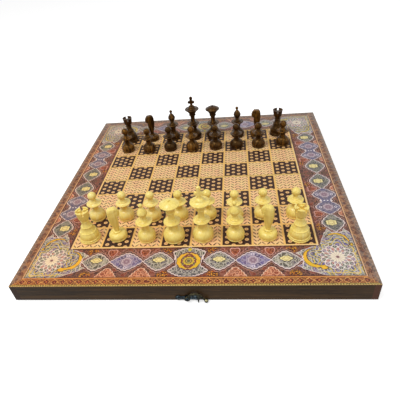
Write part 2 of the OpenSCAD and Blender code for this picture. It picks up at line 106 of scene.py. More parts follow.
class Net:
    """A material that is built from nodes, with lengths in millimetres."""

    def __init__(self, name):
        self.material = bpy.data.materials.new(name)
        self.material.use_nodes = True
        self.tree = self.material.node_tree
        self.shader = self.tree.nodes["Principled BSDF"]
        coords = self.add("ShaderNodeTexCoord")
        self.mm = self.scale(Value(self, coords.outputs["Object"]), (1000, 1000, 1000))
        self.normal = Value(self, coords.outputs["Normal"])

    def add(self, kind, **settings):
        node = self.tree.nodes.new(kind)
        for key, value in settings.items():
            setattr(node, key, value)
        return node

    def feed(self, socket, value):
        if isinstance(value, Value):
            self.tree.links.new(value.out, socket)
        elif value is not None:
            socket.default_value = value

    def math(self, operation, a, b=None, c=None, clamp=False):
        node = self.add("ShaderNodeMath", operation=operation, use_clamp=clamp)
        for socket, value in zip(node.inputs, (a, b, c)):
            self.feed(socket, value)
        return Value(self, node.outputs[0])

    def floor(self, x):
        return self.math("FLOOR", x)

    def sine(self, x):
        return self.math("SINE", x)

    def cosine(self, x):
        return self.math("COSINE", x)

    def angle(self, x, y):
        return self.math("ARCTAN2", x, y)

    def least(self, first, *others):
        for value in others:
            first = self.math("MINIMUM", first, value)
        return first

    def most(self, first, *others):
        for value in others:
            first = self.math("MAXIMUM", first, value)
        return first

    def scale(self, vector, factors):
        node = self.add("ShaderNodeVectorMath", operation="MULTIPLY")
        self.feed(node.inputs[0], vector)
        self.feed(node.inputs[1], factors)
        return Value(self, node.outputs[0])

    def split(self, vector):
        node = self.add("ShaderNodeSeparateXYZ")
        self.feed(node.inputs[0], vector)
        return [Value(self, out) for out in node.outputs]

    def join(self, x, y, z=0.0):
        node = self.add("ShaderNodeCombineXYZ")
        for socket, value in zip(node.inputs, (x, y, z)):
            self.feed(socket, value)
        return Value(self, node.outputs[0])

    def length(self, x, y):
        node = self.add("ShaderNodeVectorMath", operation="LENGTH")
        self.feed(node.inputs[0], self.join(x, y))
        return Value(self, node.outputs["Value"])

    def above(self, x, edge, soft=0.4):
        """1 where x is over the edge, 0 where it is under it."""
        return self.math("MULTIPLY_ADD", x, 1 / soft, 0.5 - edge / soft, clamp=True)

    def below(self, x, edge, soft=0.4):
        return self.math("MULTIPLY_ADD", x, -1 / soft, 0.5 + edge / soft, clamp=True)

    def line(self, x, at, half, soft=0.4):
        """1 in a line of that half width around the place."""
        return self.below(abs(x - at), half, soft)

    def lerp(self, factor, a, b):
        node = self.add("ShaderNodeMix", data_type="FLOAT")
        self.feed(node.inputs[0], factor)
        self.feed(node.inputs[2], a)
        self.feed(node.inputs[3], b)
        return Value(self, node.outputs[0])

    def mix(self, factor, a, b, blend="MIX"):
        node = self.add("ShaderNodeMix", data_type="RGBA", blend_type=blend)
        self.feed(node.inputs[0], factor)
        self.feed(node.inputs[6], a)
        self.feed(node.inputs[7], b)
        return Value(self, node.outputs[2])

    def layers(self, colour, *inks):
        """Lay inks over a colour in turn, each a mask of 0 to 1 and a tone."""
        for mask, tone in inks:
            colour = self.mix(mask, colour, tone)
        return colour

    def ramp(self, factor, *stops):
        node = self.add("ShaderNodeValToRGB")
        self.feed(node.inputs[0], factor)
        parts = node.color_ramp.elements
        while len(parts) < len(stops):
            parts.new(0.5)
        for part, (at, colour) in zip(parts, stops):
            part.position = at
            part.color = colour
        return Value(self, node.outputs[0])

    def noise(self, vector, scale, detail=2.0, rough=0.5, distortion=0.0):
        node = self.add("ShaderNodeTexNoise")
        self.feed(node.inputs["Vector"], vector)
        self.feed(node.inputs["Scale"], scale)
        self.feed(node.inputs["Detail"], detail)
        self.feed(node.inputs["Roughness"], rough)
        self.feed(node.inputs["Distortion"], distortion)
        return Value(self, node.outputs[0])

    def voronoi(self, vector, scale, feature="F1"):
        node = self.add("ShaderNodeTexVoronoi", feature=feature)
        self.feed(node.inputs["Vector"], vector)
        self.feed(node.inputs["Scale"], scale)
        return node

    def cells(self, vector, scale, feature="F1"):
        node = self.voronoi(vector, scale, feature)
        return Value(self, node.outputs["Distance"])

    def pick(self, vector, scale):
        """A value of 0 to 1 that each cell of that scale has for itself."""
        node = self.voronoi(vector, scale)
        return self.split(Value(self, node.outputs["Color"]))[0]

    def bump(self, height, depth, strength, under=None):
        """Relief from a height of 0 to 1, as deep as that many millimetres."""
        node = self.add("ShaderNodeBump")
        self.feed(node.inputs["Strength"], strength)
        self.feed(node.inputs["Distance"], depth / 1000)
        self.feed(node.inputs["Height"], height)
        self.feed(node.inputs["Normal"], under)
        return Value(self, node.outputs[0])

    def finish(self, colour, roughness, relief, **sockets):
        self.feed(self.shader.inputs["Base Color"], colour)
        self.feed(self.shader.inputs["Roughness"], roughness)
        self.feed(self.shader.inputs["Normal"], relief)
        for name, value in sockets.items():
            self.feed(self.shader.inputs[name.replace("_", " ")], value)
        return self.material


# ---- camera, light and floor ----

FLOOR_HALF = 6

camera_data = bpy.data.cameras.new("camera")
camera_data.lens = 33.99
camera_data.sensor_width = 36
camera_data.clip_start = 0.01
camera = bpy.data.objects.new("camera", camera_data)
camera.location = (0.0732, -0.5613, 0.40255)
camera.rotation_euler = (0.92613482, 0.08883069, 0.06792404)
scene.collection.objects.link(camera)
scene.camera = camera


def seen_straight(tree):
    """1 for rays that come from the camera or from a mirror or glass."""
    rays = tree.nodes.new("ShaderNodeLightPath")
    total = rays.outputs["Is Camera Ray"]
    for name in ("Is Glossy Ray", "Is Transmission Ray"):
        node = tree.nodes.new("ShaderNodeMath")
        node.operation = "MAXIMUM"
        tree.links.new(total, node.inputs[0])
        tree.links.new(rays.outputs[name], node.inputs[1])
        total = node.outputs[0]
    return total


def set_world(ambient):
    """A white surround that lights the object only as much as ambient says."""
    world = bpy.data.worlds.new("studio")
    scene.world = world
    world.use_nodes = True
    tree = world.node_tree
    level = tree.nodes.new("ShaderNodeMapRange")
    level.inputs["To Min"].default_value = ambient
    level.inputs["To Max"].default_value = 1.0
    tree.links.new(seen_straight(tree), level.inputs["Value"])
    tree.links.new(level.outputs[0], tree.nodes["Background"].inputs["Strength"])
    tree.nodes["Background"].inputs["Color"].default_value = (1, 1, 1, 1)


def add_lamp(name, place, power, size):
    """A square lamp that looks at the middle of the board."""
    data = bpy.data.lights.new(name, "AREA")
    data.energy = power
    data.size = size
    lamp = bpy.data.objects.new(name, data)
    lamp.location = place
    lamp.rotation_euler = (-Vector(place)).to_track_quat("-Z", "Y").to_euler()
    scene.collection.objects.link(lamp)


def add_floor(z, white):
    """A floor that takes the shadow, with a glow that only straight looks see."""
    corners = [(x * FLOOR_HALF, y * FLOOR_HALF, z)
               for x, y in ((-1, -1), (1, -1), (1, 1), (-1, 1))]
    mesh = bpy.data.meshes.new("floor")
    mesh.from_pydata(corners, [], [(0, 1, 2, 3)])
    floor = bpy.data.objects.new("floor", mesh)
    scene.collection.objects.link(floor)
    material = bpy.data.materials.new("floor")
    material.use_nodes = True
    tree = material.node_tree
    tree.nodes.remove(tree.nodes["Principled BSDF"])
    cover = tree.nodes.new("ShaderNodeBsdfDiffuse")
    cover.inputs["Color"].default_value = (0.8, 0.8, 0.8, 1)
    glow = tree.nodes.new("ShaderNodeEmission")
    lift = tree.nodes.new("ShaderNodeMath")
    lift.operation = "MULTIPLY"
    lift.inputs[1].default_value = white
    tree.links.new(seen_straight(tree), lift.inputs[0])
    tree.links.new(lift.outputs[0], glow.inputs["Strength"])
    both = tree.nodes.new("ShaderNodeAddShader")
    tree.links.new(cover.outputs[0], both.inputs[0])
    tree.links.new(glow.outputs[0], both.inputs[1])
    tree.links.new(both.outputs[0], tree.nodes["Material Output"].inputs["Surface"])
    mesh.materials.append(material)


set_world(ambient=0.42)
add_lamp("key", place=(-0.7, -0.5, 1.7), power=18.5, size=0.9)
add_lamp("fill", place=(1.0, -0.9, 1.2), power=5, size=1.4)
add_floor(first[0][2], white=0.6)


# ---- the printed veneer, in millimetres from the middle of the board ----

SQUARE = 44
HALF_FIELD = 4 * SQUARE
MIDDLE = 206                        # middle line of the frame's strips
BAND_X, BAND_Y = 225.5, 233         # where the outer band starts
DOT_COLUMN, DOT_STEP = 9.4, 11      # dots of the dark squares
LANE, DASH_STEP = 6.29, 7.33        # dashes of the light squares
KNOT_STEP, BEAD_STEP, SPECK_STEP = 11.5, 7, 3.3

# places along the strips, from the middle of each: on the two ends, and on the two sides
END_SLATE, END_VIOLET, END_CROSSING = 41.6, 87, 63.3
SIDE_SLATE, SIDE_VIOLETS, SIDE_WAIST, SIDE_CROSSING = 23.5, (62, 94.4), 78, 45.7
LAST_SLATE, LAST_CROSSING = 131, 110.8
GOLD_BEDS = (33, 140)
CROWN_END = 29
ROSE_X, ROSE_Y, ROSE_PETALS = 197.6, 200.2, 14

# lozenges: place along the strip, half length, half height
END_LOZENGES = ((END_SLATE, 21.7, 16.7), (END_VIOLET, 23.7, 16), (LAST_SLATE, 20.3, 16))
SIDE_LOZENGES = ((SIDE_SLATE, 22.7, 16.5), (LAST_SLATE, 20.3, 16),
                 (SIDE_VIOLETS[0], 18, 18.5), (SIDE_VIOLETS[1], 18, 18.5),
                 (SIDE_WAIST, 12, 9))

TRACERY, FINE_TRACERY = 0.165, 0.42  # cells in a millimetre

OUTLINE = rgb(240, 218, 214)
SHADE = rgb(52, 28, 44)
GOLD = rgb(250, 192, 52)

# grounds: base, two tones that some cells have instead, stems, small flowers
SLATE = (rgb(20, 24, 26), rgb(74, 70, 48), rgb(46, 34, 76), rgb(203, 195, 178),
         rgb(178, 140, 74))
VIOLET = (rgb(44, 36, 92), rgb(78, 66, 132), rgb(112, 84, 104), rgb(190, 176, 194),
          rgb(170, 120, 116))
MAROON = (rgb(24, 4, 18), rgb(40, 10, 28), rgb(118, 42, 26), rgb(164, 108, 92),
          rgb(226, 150, 50))
RED = (rgb(84, 10, 12), rgb(112, 26, 22), rgb(52, 8, 20), rgb(206, 120, 84),
       rgb(222, 140, 66))
SALMON = (rgb(132, 46, 26), rgb(164, 76, 48), rgb(110, 32, 26), rgb(232, 164, 128),
          rgb(240, 184, 96))
STONE = (rgb(56, 66, 74), rgb(86, 98, 92), rgb(70, 60, 104), rgb(222, 212, 200),
         rgb(226, 184, 70))
PEBBLED = (rgb(46, 16, 18), rgb(156, 110, 72), rgb(82, 84, 86), rgb(208, 150, 112),
           rgb(214, 140, 70))


class Sheet(Net):
    """The printed sheet: where a point lies on it, and the tracery that its inks share.

    The frame is one strip that is folded onto all four sides of the board: s runs along it
    from the middle of a side, c across it from its middle line, and out across the outer
    band from where that starts.
    """

    def __init__(self):
        super().__init__("printed_veneer")
        self.x, self.y, _ = self.split(self.mm)
        self.ax = abs(self.x)
        self.ay = abs(self.y)
        self.far = self.most(self.ax, self.ay)
        self.s = self.least(self.ax, self.ay)
        self.ends = self.above(self.ay - self.ax, 0, 0.3)
        self.sides = 1 - self.ends
        self.c = self.far - MIDDLE + self.ends * 2
        self.ac = abs(self.c)
        self.out = self.most(self.ax - BAND_X, self.ay - BAND_Y)
        self.fine = self.noise(self.mm, 0.9, 3, 0.65)
        self.broad = self.noise(self.mm, 0.03, 2)

        # stems round cells, and a small flower in each cell, whose tone is its own
        folded = self.join(self.s, self.ac)
        near = self.cells(folded, TRACERY)
        stems = self.below(self.cells(folded, TRACERY, "DISTANCE_TO_EDGE"), 0.07, 0.06)
        flowers = self.most(self.line(near, 0.29, 0.04, 0.07), self.below(near, 0.12, 0.08))
        self.trace = self.most(stems, flowers)
        self.own = self.pick(folded, TRACERY)
        self.fine_near = self.cells(folded, FINE_TRACERY)
        fine_edge = self.cells(folded, FINE_TRACERY, "DISTANCE_TO_EDGE")
        self.fine_stems = self.below(fine_edge, 0.1, 0.1)

    def ground(self, inks, clear=0.9):
        """A ground under tracery, which is as clear as that."""
        base, shade, third, stem, flower = inks
        return self.layers(
            base,
            (self.above(self.own, 0.4, 0.1), shade),
            (self.above(self.own, 0.72, 0.1), third),
            (self.fine_stems * 0.25, stem),
            (self.below(self.fine_near, 0.22, 0.1) * 0.5, flower),
            (self.trace * clear, stem))

    def lozenges(self, shapes):
        """How far inside the lozenges a point is, less than 0 outside them all."""
        def depth(at, half_long, half_high):
            t = (abs(self.s - at) / half_long) ** 1.5
            return half_high - t * half_high - self.ac
        return self.most(*(depth(*shape) for shape in shapes))

    def nearest(self, *places):
        """How far along the strip the nearest of the places is."""
        return self.least(*(abs(self.s - place) for place in places))


def playing_squares(n):
    """Dark squares with rows of dots, light squares with herringbone dashes."""
    column = n.floor(n.x / SQUARE)
    row = n.floor(n.y / SQUARE)
    odd = (column + row) % 2
    u = n.x - column * SQUARE - SQUARE / 2
    v = n.y - row * SQUARE - SQUARE / 2

    dot_column = n.floor(u / DOT_COLUMN)
    du = u - dot_column * DOT_COLUMN - DOT_COLUMN / 2
    dv = (v + (dot_column % 2) * (DOT_STEP / 2) - 1.5) % DOT_STEP - DOT_STEP / 2
    from_dot = n.length(du * 0.92, dv)
    dark = n.layers(
        n.mix(n.fine, rgb(56, 16, 8), rgb(24, 8, 12)),
        (n.below(from_dot, 2.75, 0.6), n.mix(n.broad, rgb(254, 202, 122), rgb(232, 186, 132))),
        (n.below(from_dot, 0.9, 0.5), rgb(170, 110, 84)))

    lane = n.floor(u / LANE + 0.5)
    across = u - lane * LANE
    lean = (lane % 2) * 2 - 1
    slope = abs((v + across * lean) % DASH_STEP - DASH_STEP / 2)
    dashes = n.below(slope, 1.3) * n.below(abs(across), 2.45, 0.5)
    uneven = n.above(n.noise(n.mm, 0.2, 1), 0.5, 0.24)
    patchy = n.above(n.noise(n.mm, 0.11, 1), 0.5, 0.3)
    light = n.layers(
        rgb(250, 213, 148),
        (patchy, rgb(249, 196, 146)),
        (dashes * (uneven * 0.5 + 0.5), rgb(62, 14, 8)))

    edge = n.above(n.most(abs(u), abs(v)), 20.5, 0.35)
    return n.mix(edge, n.mix(odd, light, dark), rgb(246, 196, 112))


def cartouches(n, inside, crossing_at, slate, violet):
    """Slate lozenges with a pale leaf, violet ones with a bloom."""
    is_violet = n.above(n.s - crossing_at, 0) * n.below(n.s, LAST_CROSSING)
    hs = n.least(abs(n.s - n.lerp(n.ends, SIDE_SLATE, END_SLATE)), n.nearest(LAST_SLATE))
    hc = n.c + 2.6
    leaf = n.length(hs * n.lerp(n.ends, 1.3, 1.0), hc * n.lerp(n.ends, 1.0, 1.7))
    leaf = leaf + n.cosine(n.angle(hs, hc) * 6) * 0.8
    middle = n.lerp(n.ends, n.nearest(*SIDE_VIOLETS), n.nearest(END_VIOLET))
    bloom = n.length(middle, n.c) + n.cosine(n.angle(middle, n.c) * 8) * 0.6
    loops = n.line(n.length(middle, n.ac - 11.3), 1.9, 0.5)
    beads = n.below(n.length(n.s - SIDE_WAIST, n.ac % 5 - 2.5), 1.3, 0.6)
    return n.layers(
        n.mix(is_violet, slate, violet),
        (n.sides * 0.42, rgb(22, 44, 44)),
        (n.line(inside, 2.4, 0.35) * 0.8, rgb(170, 164, 176)),
        (n.below(leaf, 9.2, 0.6), rgb(66, 60, 58)),
        (n.below(leaf, 7.8, 0.8), rgb(244, 228, 160)),
        (n.line(leaf, 4.2, 0.5), rgb(176, 140, 84)),
        (n.above(middle, 14, 8) * is_violet * 0.4, rgb(92, 88, 144)),
        (n.below(bloom, 8, 3) * is_violet * 0.75, rgb(178, 152, 160)),
        (n.line(bloom, 6.5, 0.5) * is_violet, rgb(214, 196, 206)),
        (n.line(bloom, 2.9, 0.8) * is_violet, rgb(136, 102, 124)),
        (loops * is_violet, rgb(240, 226, 234)),
        (beads * n.sides, rgb(246, 236, 236)))


def triangles(n, inside, crossing_at):
    """What lies between the cartouches: red drops and hearts, salmon domes, gold beds."""
    red = n.ground(RED, 0.7)
    crossing = n.least(abs(n.s - crossing_at), n.nearest(LAST_CROSSING))
    scallop = n.sine(n.c * 1.5) * 0.9
    drop = 21 - (n.c + 28) * (21 / 23) - crossing + scallop
    heart = 6.6 - n.length(crossing, (n.c + 15.5) * -1 - crossing * 0.6)
    dome = n.c - 11.5 - (crossing / 15) ** 1.4 * 17 + scallop
    beds = n.below(n.length(n.nearest(*GOLD_BEDS), (abs(n.c - 2.5) - 22) * 1.2), 7.5, 2)
    beds = beds * n.below(n.noise(n.mm, 0.4, 2), 0.56, 0.08)
    return n.layers(
        n.ground(MAROON, 0.56),
        (n.above(drop, 0, 0.5) * 0.25, red),
        (n.line(drop, 0, 0.5) * 0.8, rgb(214, 158, 150)),
        (n.above(heart, 0, 0.5), red),
        (n.line(heart, 0, 0.6) * 0.8, rgb(232, 176, 166)),
        (n.above(dome, 0, 0.5), n.ground(SALMON)),
        (n.line(dome, 0, 0.7), rgb(246, 206, 180)),
        (beds, n.mix(n.own, rgb(240, 172, 48), rgb(206, 110, 34))),
        (beds * n.above(n.fine_near, 0.42, 0.1), rgb(64, 16, 18)),
        (n.line(inside, -3.7, 0.4), rgb(196, 150, 138)))


def medallion(n, strip, slate, leaf_gold):
    """The gold ring in its crown, in the middle of the two end strips."""
    s, c = n.s, n.c
    roof = 25 - (s / 23) ** 1.5 * 8 + n.most(2.5 - s, 0) + c
    arch = n.least(roof, 19 + n.most(c * -1 - 8, 0) * 0.45 - s, -3 - c)
    wing = n.least(28 - (s / 27) ** 2.2 * 10.5 - c, c - 17.5 + (27 - s) * 0.9)
    ring = n.length(s, c)
    angle = n.angle(s, c)
    petals = n.cosine(angle * 12)
    scalloped = ring + petals * 0.45
    crown = n.most(arch, wing, 17.6 - ring) + n.sine(s * 1.3) * 0.5
    swelling = abs(n.sine(angle)) * 2.6 + 0.2
    tip = n.length(s, (c + 22) * 0.7)
    disc = n.layers(
        n.mix(n.above(n.own, 0.5, 0.1), rgb(122, 62, 52), rgb(100, 104, 74)),
        (n.below(n.fine_near, 0.34, 0.14), rgb(226, 176, 132)),
        (n.line(ring + petals * 0.5, 6.4, 1.2), rgb(218, 190, 54)),
        (n.line(ring, 3, 0.6), rgb(196, 178, 84)),
        (n.below(abs(scalloped - 13.6) - swelling, 0, 0.5), leaf_gold))
    plate = n.layers(
        strip,
        (n.above(crown, 0, 0.5), n.mix(n.above(c, -6, 10) * 0.22, slate, rgb(108, 102, 128))),
        (n.line(crown, 0, 0.8), OUTLINE),
        (n.line(crown, -1.8, 0.4), SHADE),
        (n.below(scalloped, 16.4, 0.5), disc),
        (n.line(scalloped, 16.7, 0.4), rgb(70, 40, 34)),
        (n.below(tip, 2.6, 0.6), rgb(214, 196, 60)))
    return n.mix(n.below(s, CROWN_END) * n.ends, strip, plate)


def corners(n, strip, violet, leaf_gold):
    """A rosette on a grey ground, with gold scrolls and a crescent round it."""
    s, c, ac = n.s, n.c, n.ac
    rx = n.ax - ROSE_X
    ry = n.ay - ROSE_Y
    rose = n.length(rx, ry)
    turn = n.angle(rx, ry)
    wave = n.cosine(turn * ROSE_PETALS)

    bend = n.sine(rose * 0.42 + n.sine(turn * 8) * 2.4)
    scroll = n.below(abs(bend), 0.3, 0.16) * n.above(rose, 21, 1)
    near_rose = n.below(rose + n.sine(turn * 6) * 4, 37, 5)
    outside_hoop = n.length(s - 170, c + 3) - 17
    inside_hoop = n.length(s - 173.5, c + 5.2) - 15.9
    blob = n.length((s - 177) * 0.55, c - 14.5) - 2.4
    crescent = n.least(n.most(outside_hoop, inside_hoop * -1), blob) + n.sides * 1.2
    crescent = crescent + (n.noise(n.mm, 0.25, 2) - 0.5) * 3

    first_ring = n.line(rose - wave * 2.2, 12.2, 0.9)
    second_ring = n.line(rose + wave * 2.2, 16.8, 0.9)
    spokes = n.below(abs(n.sine(turn * ROSE_PETALS)) * rose, 2.8, 1.0)
    rays = n.below(abs(n.sine(turn * (ROSE_PETALS / 2))) * rose, 1.1, 0.6)
    bed = n.layers(
        n.mix(n.above(wave, 0, 0.8), rgb(186, 108, 98), rgb(156, 134, 156)),
        (n.above(n.pick(n.mm, 0.2), 0.55, 0.1), rgb(104, 108, 96)),
        (n.most(first_ring, second_ring, spokes) * 0.95, rgb(252, 242, 228)),
        (n.below(rose + wave * 0.9, 9.4, 0.7), rgb(250, 238, 212)),
        (rays * n.below(rose, 9, 1), rgb(190, 118, 122)),
        (n.below(rose, 2.1, 0.5), rgb(132, 92, 96)))

    rose_edge = rose - wave * 1.3
    bracket = n.line(n.out, -5.3, 0.6) * n.above(s, 182, 2)
    corner = n.layers(
        n.mix(n.above(n.noise(n.mm, 0.1, 1), 0.56, 0.08), n.ground(STONE), violet),
        (scroll, n.mix(near_rose, rgb(212, 202, 176), rgb(226, 194, 60))),
        (n.below(crescent, 0.8, 0.5), rgb(92, 52, 30)),
        (n.below(crescent, 0, 0.5), leaf_gold),
        (n.below(rose_edge, 21, 0.6), bed),
        (n.line(rose_edge, 21.2, 0.6), rgb(246, 230, 222)),
        (bracket, rgb(238, 204, 124)))

    horn = n.most(1 - abs(ac - 11.5) / 5.5, 0) ** 1.4 * 8
    patch = s + horn - 152.5 - n.most(ac - 17, 0) * 2.4 + n.sine(c * 1.3) * 0.6
    return n.layers(
        strip,
        (n.above(patch, 0, 0.5), corner),
        (n.line(patch, 0, 0.8), OUTLINE))


def outer_band(n, on_end):
    """Small lozenges on the near end, and a pebbled band on the other three sides."""
    s, out = n.s, n.out
    beat = abs(s % KNOT_STEP - KNOT_STEP / 2)
    knot = beat * 0.9 + abs(out - 6.6) + (n.noise(n.mm, 0.3, 2) - 0.5) * 8
    speck = n.below(n.length(s % SPECK_STEP - SPECK_STEP / 2, out - 13.4), 0.8, 0.5)
    bead = n.below(n.length(s % BEAD_STEP - BEAD_STEP / 2, out - 12.4), 1.7, 0.6)
    away = n.most(1 - on_end, n.above(n.y, 0, 1))
    pebbled = n.layers(
        n.ground(PEBBLED, 0.45),
        (n.below(knot, 3.4, 0.6) * 0.7, rgb(84, 30, 26)),
        (bead * 0.6, rgb(214, 168, 138)))
    return n.layers(
        n.mix(n.above(n.own, 0.5, 0.1), rgb(142, 72, 32), rgb(104, 52, 26)),
        (n.fine_stems * 0.55, rgb(212, 146, 80)),
        (n.below(knot, 3.9, 0.6), rgb(104, 32, 20)),
        (n.below(knot, 1.2, 0.5), rgb(214, 126, 74)),
        (n.line(knot, 4.6, 0.45), rgb(226, 164, 90)),
        (n.above(out, 11.2), n.mix(n.fine_stems, rgb(92, 78, 34), rgb(196, 160, 74))),
        (speck, rgb(232, 206, 120)),
        (away * 0.9, pebbled),
        (away * n.above(out, 9, 5) * 0.35, rgb(96, 108, 116)))


def aged_with_sheen(n, colour):
    """Yellowed on the left, greyer at the far end and a little on the right as a painted
    sheen, with uneven ink.
    """
    outside = n.above(n.far, HALF_FIELD, 0.3)
    yellowed = n.below(n.x, -60, 240) * (outside * 0.6 + 0.2)
    sheen_grey = n.most(n.above(n.y, 185, 90) * 0.34, n.above(n.x, 190, 100) * 0.12)
    return n.layers(
        n.mix(yellowed, colour, rgb(255, 234, 204), "MULTIPLY"),
        # painted sheen: the sheet turns greyer towards the far end and a little on the right
        (sheen_grey * outside, rgb(112, 122, 122)),
        (n.above(n.fine, 0.58, 0.2) * 0.12, rgb(255, 232, 200)),
        (n.below(n.broad, 0.5, 0.3) * 0.08, rgb(110, 78, 62)))


def printed_veneer():
    n = Sheet()
    slate = n.ground(SLATE)
    violet = n.ground(VIOLET)
    leaf_gold = n.layers(
        GOLD,
        (n.below(n.fine_near, 0.2, 0.1), rgb(206, 142, 40)),
        (n.above(n.noise(n.mm, 0.12, 2), 0.5, 0.08) * 0.7, rgb(222, 184, 40)),
        (n.above(n.y, 0, 1) * 0.6, rgb(206, 204, 128)))

    inside = n.lerp(n.ends, n.lozenges(SIDE_LOZENGES), n.lozenges(END_LOZENGES))
    inside = inside + n.sine(n.s * 1.05) * 0.5
    crossing_at = n.lerp(n.ends, SIDE_CROSSING, END_CROSSING)
    strip = n.layers(
        triangles(n, inside, crossing_at),
        (n.above(inside, 0, 0.5), cartouches(n, inside, crossing_at, slate, violet)),
        (n.line(inside, 0, 0.8), OUTLINE),
        (n.line(inside, -1.9, 0.45), SHADE))
    strip = medallion(n, strip, slate, leaf_gold)
    strip = corners(n, strip, violet, leaf_gold)

    on_end = n.above(n.ay - n.ax, BAND_Y - BAND_X, 0.3)
    lip = n.layers(
        n.mix(n.fine, rgb(246, 170, 80), rgb(206, 122, 62)),
        (1 - on_end, rgb(234, 184, 134)))
    frame_print = n.layers(
        strip,
        (n.line(n.far, 179, 0.6), rgb(64, 28, 24)),
        (n.line(n.out, -0.9, 0.5), rgb(74, 38, 34)),
        (n.above(n.out, 0, 0.3), lip),
        (n.above(n.out, 1.3, 0.3), outer_band(n, on_end)))

    # the field, the line round it, and the seam: its dark line is partly painted shade in the
    # gap and partly the worn edge of the veneer, and its pale line on the near side is partly
    # a painted highlight on that edge
    colour = n.layers(
        playing_squares(n),
        (n.above(n.far, HALF_FIELD, 0.3), frame_print),
        (n.line(n.far, 176.4, 0.7, 0.3), rgb(252, 220, 156)),
        (n.line(n.y, -1.7, 0.9, 0.3) * n.below(n.ax, 178), rgb(244, 208, 128)),
        (n.below(n.ay, 0.55, 0.2) * 0.7, rgb(112, 88, 44)))

    # the cut edge of the sheet shows bare wood
    stripes = n.noise(n.scale(n.mm, (0.05, 0.05, 6)), 1.0, 3)
    cut = n.mix(stripes, rgb(206, 166, 116), rgb(150, 108, 70))
    top = n.above(n.split(n.normal)[2], 0.5, 0.2)
    return n.finish(n.mix(top, cut, aged_with_sheen(n, colour)), n.lerp(n.fine, 0.4, 0.58),
                    n.bump(n.fine, 0.05, 0.5), Specular_IOR_Level=0.14)


# ---- woods, lining and metals ----

LINING_X, LINING_POINT = 232, 185    # half length of the lining, length of a point
POINT_PITCH, POINTS_FROM = 228 / 6, 9


def grained(name, stretch, deep, middle, pale, ends=None, gloss=0.42):
    """Wood with its grain along the axis that stretch squeezes most.

    ends gives the axis on which the end grain shows, and its two tones.
    """
    n = Net(name)
    flow = n.scale(n.mm, stretch)
    bend = n.noise(flow, 0.08, 3, 0.5, 0.8)
    figure = n.noise(flow, 0.55, 4, 0.6, 1.2)
    streak = n.noise(n.scale(flow, (3.2, 3.2, 3.2)), 1.0, 3, 0.7)
    tone = figure * 0.62 + bend * 0.5 - 0.06
    colour = n.ramp(tone, (0.3, deep), (0.5, middle), (0.72, pale))
    colour = n.mix(n.above(streak, 0.6, 0.12) * 0.35, colour, deep)
    if ends:
        axis, tint_a, tint_b = ends
        cap = n.above(abs(n.split(n.normal)[axis]), 0.7, 0.2)
        on_left = n.below(n.split(n.mm)[0], 0, 1)
        colour = n.layers(
            colour,
            (cap, n.mix(n.noise(n.mm, 0.5, 4, 0.6), tint_a, tint_b)),
            (cap * on_left * 0.75, deep))
    roughness = n.lerp(streak, gloss - 0.1, gloss + 0.14)
    return n.finish(colour, roughness, n.bump(streak, 0.12, 0.5), Specular_IOR_Level=0.1)


def turned(name, deep, middle, pale, under, streaks, coat, gloss, **sockets):
    """Turned wood, with the grain up the piece and each piece a little different, and painted
    shade in the under colour on faces that look down.
    """
    n = Net(name)
    x, y, _ = n.split(n.mm)
    pick = n.add("ShaderNodeTexWhiteNoise")
    n.feed(pick.inputs["Vector"], n.join(n.floor(x / SQUARE), n.floor(y / SQUARE)))
    own = Value(n, pick.outputs["Value"])
    bands = n.noise(n.scale(n.mm, (1, 1, 0.09)), 0.22, 3, 0.55, 1.4)
    fibre = n.noise(n.scale(n.mm, (1, 1, 0.05)), 1.5, 3, 0.7)
    turning = n.noise(n.scale(n.mm, (0.06, 0.06, 1)), 1.9, 2)
    tone = bands * 0.8 + own * 0.16 + fibre * 0.14 - 0.05
    # painted shade: faces that look down take the under colour, which each piece also takes a
    # little of as a tint of its own
    facing_down_shade = n.below(n.split(n.normal)[2], 0.0, 0.9)
    colour = n.layers(
        n.ramp(tone, (0.3, deep), (0.5, middle), (0.7, pale)),
        (n.above(fibre, 0.58, 0.12) * streaks, deep),
        (facing_down_shade * 0.4 + own * 0.14, under))
    roughness = n.lerp(fibre, gloss - 0.06, gloss + 0.14)
    relief = n.bump(turning, 0.05, 0.35, n.bump(fibre, 0.05, 0.35))
    return n.finish(colour, roughness, relief, Coat_Weight=coat, Coat_Roughness=0.12,
                    **sockets)


def lining():
    """Cloth-like paper with the twelve points of each half of a tables game."""
    n = Net("lining")
    x, y, _ = n.split(n.mm)
    reach = LINING_X - abs(x)
    beat = abs(y) - POINTS_FROM
    number = n.floor(beat / POINT_PITCH)
    across = abs(beat - number * POINT_PITCH - POINT_PITCH / 2)
    half_point = POINT_PITCH / 2 - 1.5
    point = half_point - reach * (half_point / LINING_POINT) - across
    odd = (number + n.above(x, 0, 0.1)) % 2
    fibre = n.noise(n.mm, 1.4, 3, 0.7)
    tint = n.mix(odd, rgb(214, 182, 126), rgb(58, 40, 36))
    colour = n.layers(
        n.mix(fibre, rgb(92, 40, 30), rgb(122, 58, 40)),
        (n.above(point, 0), n.mix(fibre * 0.4, tint, rgb(150, 110, 80))),
        (n.line(point, 0, 0.5), rgb(190, 150, 84)))
    return n.finish(colour, n.lerp(fibre, 0.6, 0.8), n.bump(fibre, 0.08, 0.6))


def metal(name, deep, middle, bright, tint, top_highlight=None):
    """Cast or plated metal, with a painted highlight on faces that look up."""
    n = Net(name)
    cloud = n.noise(n.mm, 0.35, 4, 0.6)
    grit = n.noise(n.mm, 2.4, 3, 0.7)
    colour = n.ramp(cloud, (0.35, deep), (0.52, middle), (0.7, bright))
    colour = n.mix(n.above(grit, 0.6, 0.14) * 0.4, colour, tint)
    if top_highlight:
        # painted highlight: faces that look up take the paler colour
        colour = n.mix(n.above(n.split(n.normal)[2], 0.45) * 0.8, colour, top_highlight)
    return n.finish(colour, n.lerp(cloud, 0.5, 0.26), n.bump(grit, 0.05, 0.6), Metallic=1.0)


WALNUT = (rgb(28, 18, 8), rgb(60, 42, 22), rgb(92, 66, 38))

